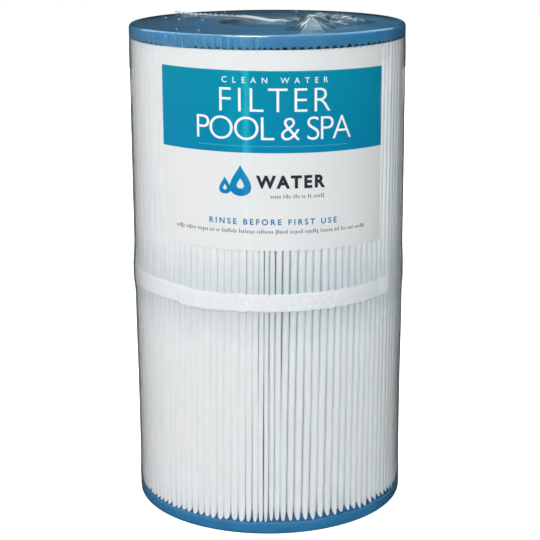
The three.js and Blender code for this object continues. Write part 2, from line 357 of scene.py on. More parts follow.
def media_material():
    mat = node_material("spunbonded_polyester", (0.86, 0.88, 0.89), 0.9, Specular_IOR_Level=0.0)
    for name, given in (("Weight", 0.4), ("Radius", (1.0, 1.1, 1.15)), ("Scale", 1.2 * MM)):
        paint(mat, "Subsurface " + name, given)
    tint(mat, (260, 3, (1, 1, 0.35)), (0.855, 0.885, 0.90), (0.905, 0.93, 0.955))
    radius = radius_value(mat)
    # Painted shade: the sides of the pleats turn darker and bluer deeper down between them, and the
    # shoulders just under the tips are a little darker than the crests.
    multiply(mat, radius, (0.84, 0.95, 0.98), TIP_RADIUS - SHOULDER, TIP_RADIUS - 0.9 * MM)
    multiply(mat, radius, (0.91, 0.955, 0.965), TIP_RADIUS - 0.5 * MM, TIP_RADIUS - 0.1 * MM)
    # Painted shade on the pleats above and below the strap.
    tint_near(mat, (0.80, 0.84, 0.86), "Z", STRAP_LOW + 5 * MM, 6 * MM, 27 * MM)
    fibres = bump(mat, (2600, 4), 0.05 * MM, 0.5)
    bump(mat, (420, 2, (1, 1, 0.12)), 0.12 * MM, 0.5, fibres)
    return mat


def strap_material():
    mat = node_material("non_woven_strap", (0.9, 0.91, 0.92), 0.95, Specular_IOR_Level=0.0)
    tint(mat, (900, 5), (0.79, 0.815, 0.83), (0.90, 0.91, 0.93))
    fuzz = bump(mat, (1500, 5), 0.3 * MM, 0.8)
    bump(mat, (420, 3), 0.5 * MM, 0.7, fuzz)
    return mat


def cap_material(name="cast_blue_resin"):
    mat = node_material(name, (0.03, 0.20, 0.42), 0.36, Coat_Weight=0.15)
    tint(mat, (70, 4), (0.026, 0.19, 0.405), (0.040, 0.225, 0.45))
    bump(mat, (320, 3), 0.06 * MM, 0.4)
    return mat


def cap_face_material():
    """The resin of the flat top, duller, with painted shade to the left and towards the back, and a
    painted dark reflection along the back edge.
    """
    mat = cap_material("cast_blue_resin_top")
    paint(mat, "Specular IOR Level", 0.2)
    paint(mat, "Coat Weight", 0.0)
    multiply(mat, grain(mat, 28, 2), (0.72, 0.70, 0.70), 0.35, 0.6)
    # Painted shade to the left and towards the back, and a painted dark reflection along the back
    # edge.
    multiply(mat, axis_value(mat, "X"), (0.62, 0.60, 0.62), -64 * MM, -5 * MM)
    multiply(mat, axis_value(mat, "Y"), (0.24, 0.17, 0.15), 70 * MM, 5 * MM)
    multiply(mat, far_rim(mat, 0, 1), (0.12, 0.14, 0.18), 1, 0)
    return mat


def core_material():
    mat = node_material("moulded_core", (0.80, 0.79, 0.75), 0.5)
    tint(mat, (90, 3), (0.76, 0.75, 0.71), (0.83, 0.82, 0.79))
    bump(mat, (900, 2), 0.04 * MM, 0.4)
    return mat


def glue_material():
    mat = node_material("hot_melt", (0.86, 0.82, 0.70), 0.3, Subsurface_Weight=0.1)
    tint(mat, (400, 2), (0.80, 0.75, 0.60), (0.90, 0.86, 0.74))
    bump(mat, (500, 2), 0.1 * MM, 0.6)
    return mat


def card_material():
    mat = node_material("coated_card", (0.82, 0.825, 0.83), 0.6, Specular_IOR_Level=0.1)
    tint(mat, (500, 4), (0.805, 0.815, 0.82), (0.83, 0.84, 0.845))
    bump(mat, (60, 2), 0.2 * MM, 0.2)
    return mat


def ink_material(name, low, high, low_z, high_z):
    """Printed ink whose colour turns from low to high between two heights."""
    mat = node_material(name, low, 0.5, Specular_IOR_Level=0.05)
    height = span(mat, axis_value(mat, "Z"), low_z, high_z)
    paint(mat, "Base Color", colour_between(mat, height, low, high))
    bump(mat, (900, 2), 0.02 * MM, 0.3)
    return mat


def shader_mix(mat, share, one, other):
    return node(mat, "MixShader", {0: share, 1: one, 2: other}), "Shader"


def film_material(
    name, haze, edge_on, roughness, stretch, depth, where=None, cloud_colour=(0.9, 0.96, 0.99)
):
    """Clear film: light goes straight through, less so edge on, and a little is scattered.
    where gives the haze a value from 0 to 1 over the surface, or leaves it even."""
    mat = node_material(name, cloud_colour, 0.5)
    wrinkles = bump(mat, (150, 3, stretch), depth, 0.8)
    facing = node(mat, "LayerWeight", {"Blend": 0.5, "Normal": wrinkles})
    grazing = maths(mat, "POWER", (facing, "Facing"), 5.0)
    mirror = maths(mat, "MULTIPLY_ADD", grazing, edge_on, 0.04)
    cloud = maths(mat, "MULTIPLY", where(mat) if where else 1.0, haze)
    both = maths(mat, "ADD", mirror, cloud)
    part = maths(mat, "DIVIDE", cloud, both)
    clear = node(mat, "BsdfTransparent"), "BSDF"
    glossy = node(mat, "BsdfGlossy", {"Roughness": roughness, "Normal": wrinkles}), "BSDF"
    cloudy = mat.node_tree.nodes["Principled BSDF"], "BSDF"
    surface = shader_mix(mat, both, clear, shader_mix(mat, part, glossy, cloudy))
    feed(mat, mat.node_tree.nodes["Material Output"].inputs["Surface"], surface)
    return mat


def raised(low, high):
    """Haze that comes in between two heights."""
    return lambda mat: span(mat, axis_value(mat, "Z"), low, high)


def eastward(low, high, least):
    """Haze that grows from left to right."""
    return lambda mat: span(mat, axis_value(mat, "X"), low, high, least)


def streaked(scale, stretch, low, high):
    """Haze in streaks, where a stretched noise is above a value, and fading out to the right."""
    def build(mat):
        left = span(mat, axis_value(mat, "X"), 2 * MM, -12 * MM, 0.12)
        return span(mat, grain(mat, scale, 2, stretch), low, high, 0.0, left)
    return build


# -------- pleats


def pleat_edges():
    """The angles of the valleys, from the seam right round to the seam. The pleats are wider
    on the right than on the left, and crowd together beside the seam."""
    rng = np.random.default_rng(11)
    widths = []
    angle = SEAM
    for _ in range(PLEATS):
        right = 0.5 + 0.5 * math.tanh(3 * math.sin(math.radians(angle + 10)))
        crowd = math.exp(-(signed(angle + 3) / 7) ** 2)
        width = (3.0 + 0.37 * right - 1.05 * crowd) * rng.uniform(0.975, 1.025)
        width *= 0.84 if len(widths) >= PLEATS - 3 else 1
        widths.append(width)
        angle += width
    widths = np.array(widths) * 360 / sum(widths)
    return SEAM + np.concatenate([[0], np.cumsum(widths)])


EDGES = pleat_edges()
CRESTS = (EDGES[:-1] + EDGES[1:]) / 2


def leaning(angle, z):
    """How far round the pleats have leant at a height. They lean less beside the seam."""
    beside = np.exp(-(signed(angle - SEAM) / 8) ** 2)
    return LEAN * (1 - 0.45 * beside) * (z - LENGTH / 2)


PARTING = EDGES[-3] - 360  # the valley whose pleats stand apart at the bottom


def shift(angle, z, own):
    """How far round a pleat at some angle is moved at a height."""
    lean = leaning(angle, z)
    stray = WANDER * np.sin(own[0] + TAU * z / (0.16 + 0.05 * np.sin(own[1])))
    apart = signed(angle - PARTING) / 2.2
    part = 0.15 * apart * np.exp(0.5 - apart**2 / 2) * smooth(1 - z / (45 * MM))
    return lean + stray + part


def packed(angle):
    """How tightly the pleats are pressed together: 1 left of the seam, 0 right of it."""
    return 1 - smooth((math.sin(math.radians(angle + 2.2)) + 0.04) / 0.08)


def pleat_section(pitch, tight, end):
    """One pleat's outline from valley to valley, at each height: radii, and distances from its
    middle. end is 1 where the pleat enters the resin, narrows and rounds off."""
    taper = 1 - 0.36 * (1 - 0.5 * tight) * end**2
    tight = tight * (1 - 0.8 * end)
    half = (FILL + (PACKED_FILL - FILL) * tight) * taper * math.radians(pitch) * TIP_RADIUS / 2
    depth = TIP_DEPTH + (PACKED_DEPTH - TIP_DEPTH) * tight
    radii = np.array([40 * MM, 52 * MM, 64 * MM, TIP_RADIUS - SHOULDER])[:, None] + 0 * half
    widths = np.array([0.46, 0.6, 0.78, 0.97])[:, None] * half
    turn = np.radians(np.linspace(0, 180, 11))[:, None]
    tip_radii = TIP_RADIUS - depth * (1 - np.sin(turn) ** 0.8)
    tip_across = -half * np.sign(np.cos(turn)) * np.abs(np.cos(turn)) ** 0.85
    r = np.concatenate([radii, tip_radii, radii[::-1]])
    across = np.concatenate([-widths, tip_across, widths[::-1]])
    return r, across


def media_heights():
    """Heights of the rows of points, closer together towards the resin."""
    ends = np.array([0, 3, 4.5, 6.5, 9, 13, 18, 26, 38]) * MM
    middle = np.linspace(52 * MM, LENGTH - 52 * MM, 14)
    return np.concatenate([MEDIA_LOW + ends, middle, MEDIA_HIGH - ends[::-1]])


def pleat_columns(i, z, rng):
    """One pleat's columns of points, from its left valley over the tip to the right one."""
    end = smooth(1 - (z - BRIM) / (13 * MM))
    end = np.maximum(end, 0.27 * smooth(1 - (z - BRIM) / (50 * MM)))
    loose = 1 - 0.35 * np.exp(-(((z - 150 * MM) / (35 * MM)) ** 2))
    own = rng.uniform(0, TAU, 2)
    tight = packed(CRESTS[i])
    width = (EDGES[i + 1] - EDGES[i]) * rng.uniform(0.985 + 0.01 * tight, 1.01 - 0.005 * tight)
    width *= 0.92 if i in (0, PLEATS - 1) else 0.965 if i < 5 or i > PLEATS - 4 else 1
    deep = rng.normal(0, 0.1 * MM) * (1 - 0.7 * tight)
    r, across = pleat_section(width, tight * loose, end)
    centre = CRESTS[i] + shift(CRESTS[i], z, own)
    valley = EDGES[i] + leaning(EDGES[i], z) + (SEAM_GAP if i == 0 else 0)
    columns = [around(ROOT_RADIUS, valley, z)]
    for radius, offset in zip(r, across):
        outward = radius + deep * rise(radius - 60 * MM, 14)
        columns.append(around(outward, centre + np.degrees(offset / radius), z))
    return columns


def pleated_media(mat):
    z = media_heights()
    rng = np.random.default_rng(5)
    columns = [column for i in range(PLEATS) for column in pleat_columns(i, z, rng)]
    columns.append(around(ROOT_RADIUS, EDGES[-1] - SEAM_GAP + leaning(EDGES[-1], z), z))
    outer = np.stack(columns)
    along = np.gradient(outer, axis=0)
    normal = np.stack([along[..., 1], -along[..., 0], 0 * along[..., 0]], -1)
    normal /= np.linalg.norm(normal, axis=-1, keepdims=True)
    sheet = shell(outer, outer - SHEET * normal)
    piece = make("pleats", *sheet, mat, "media", "pleated_media")


# -------- end caps


def cap_columns(z, per_pleat=12):
    """Angles round a cap, and how near each is to a valley: 0 at a tip, 1 at a valley."""
    share = (np.arange(per_pleat) + 0.5) / per_pleat
    widths = np.diff(EDGES)
    base = EDGES[:-1] + leaning(EDGES[:-1], z)
    angles = (base[:, None] + widths[:, None] * share).ravel()
    near = np.tile(np.abs(2 * share - 1), PLEATS)
    return angles, near


def shade_rings(piece, profile, rings, mat):
    """Gives the faces that start at some points of a cap's section another material."""
    piece.data.materials.append(mat)
    index = len(piece.data.materials) - 1
    for face in piece.data.polygons:
        if face.index % len(profile) in rings:
            face.material_index = index


def cap_mesh(name, angles, profile, up, node_name, mat):
    """A cap from its section at each angle. up is False where the section is hung upside down."""
    grid = np.stack([around(radius, angles, z) for radius, z in profile], 1)
    nu, nv = grid.shape[:2]
    faces = quads(0, nu, nv, wrap_u=True, wrap_v=True, flip=not up)
    return make(name, grid, faces, mat, "end_cap", node_name)


def flat_face():
    """The flat end's section, from the hole outwards."""
    rounding = 0.5 * MM
    rings = [BORE_RADIUS + rounding, 30 * MM, 45 * MM, 60 * MM, 70 * MM]
    return [(BORE_RADIUS, rounding), *[(r, 0.0) for r in rings]]


def edge_arc(count=6):
    """The rounded outer edge, from the flat face to the side."""
    turn = np.radians(np.linspace(-90, 0, count))
    centre = CAP_RADIUS - EDGE_RADIUS
    radii = [centre + EDGE_RADIUS * math.cos(t) for t in turn]
    return [(r, EDGE_RADIUS + EDGE_RADIUS * math.sin(t)) for r, t in zip(radii, turn)]


def bottom_cap(mat):
    """The cap that the cartridge stands on, its resin drawn up in a V between the pleats."""
    angles, _ = cap_columns(SKIRT_Z)
    brim = BRIM + 0.25 * MM * ripple(21, (9, 60), angles)
    left = smooth(-np.sin(np.radians(angles + 8)) * 4)
    uneven = 0.4 * MM * ripple(22, (20, 110), angles)
    peak = brim + RESIN_RISE * (1 - 0.3 * left) + uneven
    parting = PARTING + leaning(PARTING, BRIM)
    peak = peak + 2.2 * MM * np.exp(-(signed(angles - parting) / 1.2) ** 2)
    tip = TIP_RADIUS
    outside = [
        *flat_face(),
        *edge_arc(),
        (CAP_RADIUS, brim - 2 * MM),
        (CAP_RADIUS, brim - 0.9 * MM),
        (CAP_RADIUS - 0.15 * MM, brim - 0.4 * MM),
    ]
    folds = [
        (tip + 0.1 * MM, brim),
        (tip - 0.2 * MM, brim + (peak - brim) * 0.35),
        (tip - 0.55 * MM, brim + (peak - brim) * 0.6),
        (tip - 1.2 * MM, brim + (peak - brim) * 0.85),
        (tip - 2.2 * MM, peak),
    ]
    inside = [
        (tip - 6 * MM, peak - 0.5 * MM),
        (50 * MM, SKIRT_Z + 2 * MM),
        (31 * MM, SKIRT_Z + 1 * MM),
        (28 * MM, SKIRT_Z + 0.6 * MM),
        (BORE_RADIUS, SKIRT_Z),
    ]
    profile = outside + folds + inside
    piece = cap_mesh("bottom_cap", angles, profile, True, "bottom_end_cap", mat)
    rings = range(len(outside), len(outside + folds))
    # Painted shade: the resin drawn up between the pleats is given a darker blue.
    shade_rings(piece, profile, rings, node_material("painted_shade_in_folds", (0.012, 0.11, 0.26), 0.5))


def top_cap(mat):
    """The upper cap, with a row of small arched pockets between the pleats under its side."""
    angles, near = cap_columns(LENGTH - SKIRT_Z)
    arch = np.sqrt(np.clip(1 - ((1 - near) / 0.66) ** 2, 0, 1))
    uneven = 0.04 * MM * ripple(31, (9, 60), angles)
    size = 1 + 0.12 * ripple(32, (15, 90), angles)
    size = size * (1 - 0.8 * np.exp(-(signed(angles - SHALLOW) / 9) ** 4))
    lip = LIP - POCKET * arch * size + uneven
    face = flat_face()
    outside = [
        *face,
        *edge_arc(),
        (CAP_RADIUS, 3.5 * MM),
        (CAP_RADIUS, lip - 0.7 * MM),
        (CAP_RADIUS - 0.1 * MM, lip - 0.15 * MM),
    ]
    pockets = [
        (CAP_RADIUS - 0.35 * MM, lip),
        (TIP_RADIUS + 0.12 * MM, lip),
        (TIP_RADIUS + 0.12 * MM, 7.6 * MM),
    ]
    inside = [
        (TIP_RADIUS - 1.8 * MM, 7.9 * MM),
        (50 * MM, 8.6 * MM),
        (31 * MM, 9 * MM),
        (28 * MM, 8.6 * MM),
        (BORE_RADIUS, 8 * MM),
        (BORE_RADIUS, 2.6 * MM),
    ]
    profile = [(r, LENGTH - depth) for r, depth in outside + pockets + inside]
    piece = cap_mesh("top_cap", angles, profile, False, "top_end_cap", mat)
    rings = range(len(outside), len(outside + pockets))
    # Painted shade: the pockets under the side are near black.
    dark = node_material("painted_shade_in_pockets", (0.004, 0.014, 0.024), 0.6)
    shade_rings(piece, profile, rings, dark)
    # The wall of the hole and its rounded top edge are dark grey.
    bore_wall_grey = node_material("dark_grey_bore_wall", (0.07, 0.085, 0.095), 0.5)
    shade_rings(piece, profile, (0, len(profile) - 1), bore_wall_grey)
    shade_rings(piece, profile, range(1, len(face) + 1), cap_face_material())


# -------- strap and glue


def strap_radius(along):
    """Inner radius of the strap at a number of degrees from its outer end."""
    down = smooth((along - STRAP_LAP) / 5)
    return TIP_RADIUS + 0.15 * MM + (STRAP_THICK + 0.12 * MM) * (1 - down)


def strap_middle(along):
    """Height of the strap's middle line at a number of degrees from its outer end."""
    front = 0.5 + 0.5 * np.cos(np.radians(along + STRAP_START))
    tucked = (STRAP_RISE + 0.1 * MM) * smooth((along - 358) / 9)
    climb = STRAP_RISE * along / 360 - tucked
    return STRAP_LOW - 0.6 * MM + STRAP_WIDTH / 2 + climb - STRAP_SAG * front**3


def strap(mat):
    """One turn of fabric with its overlap, a little fuzzy, and ragged along both edges."""
    along = np.linspace(0, 360 + STRAP_LAP, 860)[:, None]
    share = np.linspace(-0.5, 0.5, 19)[None, :]
    angle = STRAP_START + along
    ragged = np.sign(share) * ripple(41, (20, 90), angle) * (np.abs(share) > 0.4)
    z = strap_middle(along) + share * STRAP_WIDTH + 0.16 * MM * ragged
    edge = smooth((0.5 - np.abs(share)) / 0.04)
    fuzz = ripple(42, (60, 300), angle, (20, 260), z, 26)
    base = strap_radius(along) + 0.03 * MM * ripple(43, (50, 114), angle, (0, 20), z)
    thick = STRAP_THICK * (0.55 + 0.45 * edge) + 0.045 * MM * fuzz
    shape = shell(around(base + thick, angle, z), around(base + 0 * thick, angle, z))
    make("strap", *shape, mat, "strap", "spacer_strap")


def glue_run(name, node_name, after, turn, radius, lift, width, thick, seed, mat):
    """A flattened run of hot melt under the strap, uneven in width. It begins some degrees after
    the strap's outer end, and is lifted from the strap's middle line."""
    along = np.linspace(0, turn, max(12, int(turn * 1.5)))[:, None]
    share = np.linspace(-0.5, 0.5, 7)[None, :]
    angle = STRAP_START + after + along
    wide = width * (1 + 0.22 * ripple(seed, (8, 70), angle))
    z = strap_middle(along + after) + lift + share * wide
    crown = thick * (1 - (2 * share) ** 4 * 0.8)
    shape = shell(around(radius + crown, angle, z), around(radius + 0 * crown, angle, z))
    make(name, *shape, mat, "glue", node_name)


def strap_glue(mat):
    """A bead near each edge of the strap, and what holds its outer end down."""
    bead = TIP_RADIUS + 0.02 * MM
    after = STRAP_LAP + 6
    for side, name in ((-1, "lower"), (1, "upper")):
        names = (f"bead_{name}", f"strap_glue_{name}")
        lift = side * BEAD_OFFSET
        glue_run(*names, after, BEAD_TURN, bead, lift, BEAD_WIDTH, 0.1 * MM, 51 + side, mat)
    lap = TIP_RADIUS + 0.16 * MM + STRAP_THICK
    names = ("lap_glue", "strap_lap_glue")
    glue_run(*names, 3, 8, lap, STRAP_RISE / 2, 5 * MM, 0.08 * MM, 55, mat)


# -------- label


ARC = math.radians(1) * TIP_RADIUS  # length of a degree on the label
LABEL_MIDDLE = (LABEL_START + LABEL_END) / 2


def on_label(angle, z, lift):
    """Points on the tilted card, lifted off the pleat tips."""
    slope = LABEL_TILT * (angle - LABEL_MIDDLE) * ARC
    return around(TIP_RADIUS + 0.1 * MM + lift, angle, z - slope)


def patch(start, end, low, high, base, thick, steps=None):
    """A closed patch of the label's surface."""
    steps = steps or max(2, int((end - start) / 1.0) + 2)
    angle = np.linspace(start, end, steps)[:, None]
    z = np.linspace(low, high, 12 if high - low > 20 * MM else 3)[None, :]
    return shell(on_label(angle, z, base + thick), on_label(angle, z, base))


def joined(shapes):
    """Several closed bodies as one mesh's points and faces."""
    points, faces, count = [], [], 0
    for p, f in shapes:
        points.append(p.reshape(-1, 3))
        faces += [[k + count for k in face] for face in f]
        count += len(points[-1])
    return np.concatenate(points), faces


def lettering(text, spacing, weight):
    """Plain lettering as a mesh, with its corners as an array."""
    curve = bpy.data.curves.new("words", "FONT")
    curve.body = text
    curve.extrude = 0.5
    curve.offset = weight
    curve.space_character = spacing
    holder = put("words", curve)
    view = bpy.context.evaluated_depsgraph_get()
    mesh = bpy.data.meshes.new_from_object(holder.evaluated_get(view))
    bpy.data.objects.remove(holder)
    return mesh, np.array([v.co for v in mesh.vertices])


def words(text, start, end, low, high, weight=0.0):
    """Lettering spaced out to fill a box on the label, cut into strips so that it bends."""
    shape = (end - start) * ARC / (high - low)
    widths = [np.ptp(lettering(text, spacing, weight)[1], axis=0) for spacing in (1, 2)]
    spacing = 1 + (shape * widths[0][1] - widths[0][0]) / (widths[1][0] - widths[0][0])
    mesh, co = lettering(text, max(0.8, spacing), weight)
    bm = bmesh.new()
    bm.from_mesh(mesh)
    bmesh.ops.remove_doubles(bm, verts=bm.verts, dist=1e-5)
    left, bottom, _ = co.min(axis=0)
    wide, tall, _ = np.ptp(co, axis=0)
    for x in np.arange(left, left + wide, wide * 0.7 / (end - start)):
        geometry = [*bm.verts, *bm.edges, *bm.faces]
        bmesh.ops.bisect_plane(bm, geom=geometry, plane_co=(x, 0, 0), plane_no=(1, 0, 0))
    bm.verts.index_update()
    co = np.array([v.co for v in bm.verts])
    faces = [[v.index for v in f.verts] for f in bm.faces]
    bm.free()
    angle = start + (end - start) * (co[:, 0] - left) / wide
    z = low + (high - low) * (co[:, 1] - bottom) / tall
    return on_label(angle, z, CARD + INK * np.where(co[:, 2] > 0, 2, 1)), faces


def small_print(start, end, low, high, seed):
    """Strokes in place of the letters of a line that is too small to read."""
    rng = np.random.default_rng(seed)
    shapes = []
    at = start
    while at < end - 1:
        for _ in range(rng.integers(2, 10)):
            wide = rng.uniform(0.3, 0.62)
            foot = low - (high - low) * 0.45 * (rng.random() < 0.1)
            head = high + (high - low) * 0.5 * (rng.random() < 0.28)
            if at < end:
                shapes.append(patch(at, at + wide, foot, head, CARD, INK))
            at += wide + 0.33
        at += 0.7
    return shapes


def drop_sign(centre, low, size):
    """A plain drop of water, the sign on the card, as a closed outline."""
    t = np.linspace(0, TAU, 49)[:-1]
    across = 0.5 * np.sin(t) * np.sin(t / 2) ** 1.6
    height = 0.5 + 0.5 * np.cos(t)
    share = np.array([1.0, 0.66, 0.33])
    angles = centre + size * across[:, None] * share / ARC
    z = low + size * (0.36 + (height[:, None] - 0.36) * share)
    outer = on_label(angles, z, CARD + 2 * INK)
    return shell(outer, on_label(angles, z, CARD + INK), wrap=True)


def card_sheet():
    """The card itself, cut level where it meets the side of the top cap."""
    high = LABEL_HIGH + 0.8 * MM
    points, faces = patch(LABEL_START, LABEL_END, LABEL_LOW, high, 0, CARD, LABEL_STEPS)
    points[:, 2] = np.minimum(points[:, 2], LENGTH - LIP + 0.05 * MM)
    make("card", points, faces, card_material(), "label", "label_card")


def printed_panel():
    """The coloured panel, with a painted highlight as a paler strip down it, the large words and a
    thin rule.
    """
    heights = (213 * MM, 255 * MM)
    teal = ink_material("teal_ink", (0.0015, 0.25, 0.45), (0.0015, 0.28, 0.42), *heights)
    # Painted highlight: a narrow bright strip down the panel, with a broader, fainter one spread
    # about it.
    tint_near(teal, (4, 1.42, 1.2), "X", -11.2 * MM, 1.0 * MM, 2.4 * MM, 5 * MM)
    tint_near(teal, (2, 1.12, 1.05), "X", -16 * MM, 3 * MM, 9 * MM, 8 * MM)
    white = ink_material("white_ink", (0.95, 0.98, 0.98), (0.96, 0.99, 0.99), *heights)
    pale = ink_material("pale_teal_ink", (0.12, 0.45, 0.58), (0.12, 0.45, 0.58), *heights)
    panel = patch(LABEL_START, LABEL_END, PANEL_LOW, PANEL_HIGH, CARD, INK, LABEL_STEPS)
    make("teal_panel", *panel, teal, "label")
    headline = joined([
        words("CLEAN WATER", -18.1, 24.3, 248.6 * MM, 251.6 * MM),
        words("FILTER", -19.2, 25.5, 233.9 * MM, 246.0 * MM, -0.012),
        words("POOL & SPA", -29.1, 35.0, 219.2 * MM, 231.3 * MM, -0.012),
    ])
    make("headline", *headline, white, "label")
    make("rule", *patch(-28.4, 33.3, 215.9 * MM, 216.12 * MM, CARD + INK, INK), pale, "label")


def printed_lines():
    """The sign of two drops with its word, a line on the filter's care, and the small print."""
    heights = (175 * MM, 206 * MM)
    blue = ink_material("blue_ink", (0.004, 0.18, 0.42), (0.008, 0.28, 0.55), *heights)
    dark = ink_material("dark_ink", (0.02, 0.025, 0.03), (0.03, 0.035, 0.04), *heights)
    grey = ink_material("grey_ink", (0.26, 0.27, 0.29), (0.3, 0.31, 0.33), 168 * MM, 206 * MM)
    drops = joined([drop_sign(-11, 189.6 * MM, 16.6 * MM), drop_sign(-17.3, 190.4 * MM, 9.2 * MM)])
    make("drop_sign", *drops, blue, "label")
    make("sign_words", *words("WATER", -4.8, 23.3, 193.8 * MM, 200.8 * MM, 0.045), dark, "label")
    care = words("RINSE BEFORE FIRST USE", -24.2, 28.5, 174.4 * MM, 177.6 * MM, 0.025)
    make("care_line", *care, blue, "label")
    fine = small_print(1, 22.6, 188.7 * MM, 190.1 * MM, 61)
    fine += small_print(-40, 43.6, 169.9 * MM, 171.3 * MM, 62)
    make("fine_print", *joined(fine), grey, "label")


# -------- film


def strap_height_at(angle):
    """Middle of the strap at an angle, its upper layer where it overlaps."""
    return strap_middle((angle - STRAP_START) % 360)


def film_radius(angle, z):
    """How far out the film stands: stretched from cap to cap over the strap."""
    waist = rise(z - 8 * MM, 14) * (1 - rise(z - 60 * MM, 50))
    body = FILM_RADIUS - WAIST * waist
    left = smooth((60 - np.abs(signed(angle + 90))) / 60)
    along = (angle - STRAP_START) % 360
    lap = smooth(along / 0.8) * (1 - smooth((along - STRAP_LAP) / 5))
    bulge = (0.45 + 0.45 * left + 0.35 * lap) * MM
    away = np.abs(z - strap_height_at(angle)) - STRAP_WIDTH / 2
    reach = np.where(z < strap_height_at(angle), 9 * MM, 14 * MM)
    body = body + bulge * (1 - np.clip(away / reach, 0, 1)) ** 1.6
    low = smooth(1 - (z - SKIRT_Z) / (7 * MM))
    high = smooth(1 - (LENGTH - SKIRT_Z - z) / (7 * MM))
    return body + (CAP_RADIUS + SLACK - body) * np.maximum(low, high)


def film_rows():
    """Heights of the film's side, closer where it bends."""
    return np.concatenate([
        np.linspace(2.6 * MM, 16 * MM, 12),
        np.linspace(22 * MM, 106 * MM, 16),
        np.linspace(112 * MM, 166 * MM, 44),
        np.linspace(172 * MM, 250 * MM, 14),
        np.linspace(254 * MM, LENGTH - 2.2 * MM, 22),
    ])


def film_side(angle, z):
    """Radius of the film's side with its small tucks, most of them on the band at the left."""
    band = rise(z - (LENGTH - SKIRT_Z - 3 * MM), 4)
    left = 0.35 + 0.65 * smooth((20 - np.abs(signed(angle + 35))) / 30 + 1)
    tucks = np.abs(ripple(81, (70, 230), angle, (0, 60), z, 24))
    radius = film_radius(angle, z) + 0.12 * MM * tucks * band * left
    return radius + 0.02 * MM * ripple(82, (40, 160), angle, (0, 30), z, 24)


def top_sag(x, y):
    """How the film lies over the top: drawn down over the hole, and lifted along its seam."""
    radius = np.hypot(x, y)
    sag = -0.3 * MM * smooth(1 - radius / BORE_RADIUS)
    dx, dy = SEAM_TO[0] - SEAM_FROM[0], SEAM_TO[1] - SEAM_FROM[1]
    run = math.hypot(dx, dy)
    across = ((x - SEAM_FROM[0]) * dy - (y - SEAM_FROM[1]) * dx) / run
    along = ((x - SEAM_FROM[0]) * dx + (y - SEAM_FROM[1]) * dy) / run
    held = rise(along, 5) * rise(run + 8 * MM - along, 8)
    lift = 0.55 * MM * np.exp(-((across / (2.2 * MM)) ** 2)) * held
    tuck = 0.05 * MM * np.abs(ripple(71, (3, 24), np.degrees(np.arctan2(x, -y)), (4, 40), radius))
    return sag + lift + tuck * rise(radius, 12) * rise(CAP_RADIUS - radius, 8)


def film_outside(angle):
    """Radii and heights of the film's outside, row by row from the hem up and in over the top,
    and which rows lie on the top."""
    centre = CAP_RADIUS - EDGE_RADIUS
    bend = EDGE_RADIUS + SLACK
    hem, rim = (np.radians(np.linspace(*turn, 6))[None, :] for turn in ((-52, -8), (8, 82)))
    side_z = film_rows()[None, :]
    top_r = np.concatenate([np.linspace(centre, 2 * MM, 92), [0.0]])[None, :]
    flat = around(top_r, angle, 0)
    sag = top_sag(flat[..., 0], flat[..., 1])
    hem_r, rim_r = centre + bend * np.cos(hem), centre + bend * np.cos(rim)
    radii = [hem_r, film_side(angle, side_z), rim_r, top_r]
    hem_z = EDGE_RADIUS + 0.35 * MM + bend * np.sin(hem)
    rim_z = LENGTH - EDGE_RADIUS + (EDGE_RADIUS + LID) * np.sin(rim)
    heights = [hem_z, side_z, rim_z, DECK + sag * rise(centre - top_r, 3)]
    outer_r = np.concatenate([r + 0 * angle for r in radii], 1)
    outer_z = np.concatenate([z + 0 * angle for z in heights], 1)
    on_top = np.arange(outer_r.shape[1]) >= outer_r.shape[1] - top_r.shape[1]
    return outer_r, outer_z, on_top


def film(side, top, band):
    """The bag: one closed thin body, with its own material on the top and on the band under it."""
    angle = (np.linspace(0, 360, PLEATS * 6, endpoint=False) + LABEL_START - 60)[:, None]
    outer_r, outer_z, on_top = film_outside(angle)
    inside = around(outer_r - FILM * ~on_top, angle, outer_z - FILM * on_top)
    shape = shell(around(outer_r, angle, outer_z), inside, wrap=True)
    piece = make("film", *shape, side, "film", "shrink_film")
    piece.data.materials.append(top)
    piece.data.materials.append(band)
    steps = len(on_top) - 1
    for face in piece.data.polygons[: 2 * len(angle) * steps]:
        on_band = LENGTH - SKIRT_Z < face.center.z < LENGTH - 1 * MM
        face.material_index = 1 if on_top[face.index % steps] else 2 if on_band else 0
    weld(piece)


def film_seam(mat):
    """The welded edge across the top: a crumpled end at the rim, beads, then a smooth ridge."""
    path = [(-54, 54), (-50, 49.6), (-43.6, 41.4), (-34, 34.4)]
    path = np.array(path + [(-21, 24.6), (-8.7, 14), (1.8, 1.5), (12, -3.4)]) * MM
    length = distances(path)
    at = np.linspace(0, length[-1], 520)
    x, y = (np.interp(at, length, path[:, k])[:, None] for k in (0, 1))
    along = at[:, None]
    up = np.linspace(0, 1, 7)[None, :]
    dx, dy = np.gradient(x[:, 0])[:, None], np.gradient(y[:, 0])[:, None]
    side = np.stack([-dy, dx], -1) / np.hypot(dx, dy)[..., None]
    beads = np.abs(np.sin(along / (4.0 * MM) * math.pi)) ** 1.5
    beaded = rise(56 * MM - along, 8)
    clump = 1 - rise(along - 8 * MM, 4)
    noise = ripple(75, (1, 1), 0 * along, (120, 330), along, 18)
    crest = 0.5 + 0.65 * beads * beaded + 0.9 * (1 - beaded) + 0.5 * clump + 0.2 * noise * clump
    height = np.clip(crest * MM, 0.2 * MM, None) * rise(length[-1] - along, 4)
    sway = 0.4 * MM * np.sin(along / (9 * MM)) + (0.15 + 0.8 * clump) * MM * noise * beaded
    lean = sway * up**1.5
    base = DECK - 0.1 * MM + top_sag(x, y) * (1 - clump)
    thick = (0.12 + 0.5 * beads * beaded * up + 0.2 * clump * up) * MM
    flat = np.concatenate([x, y], 1)[:, None, :] + 0 * up[..., None]
    z = (base + height * up)[..., None]
    moved = [side * (lean + way * thick)[..., None] for way in (1, -1)]
    faces = [np.concatenate([flat + across, z], -1) for across in moved]
    make("film_seam", *shell(*faces), mat, "film")


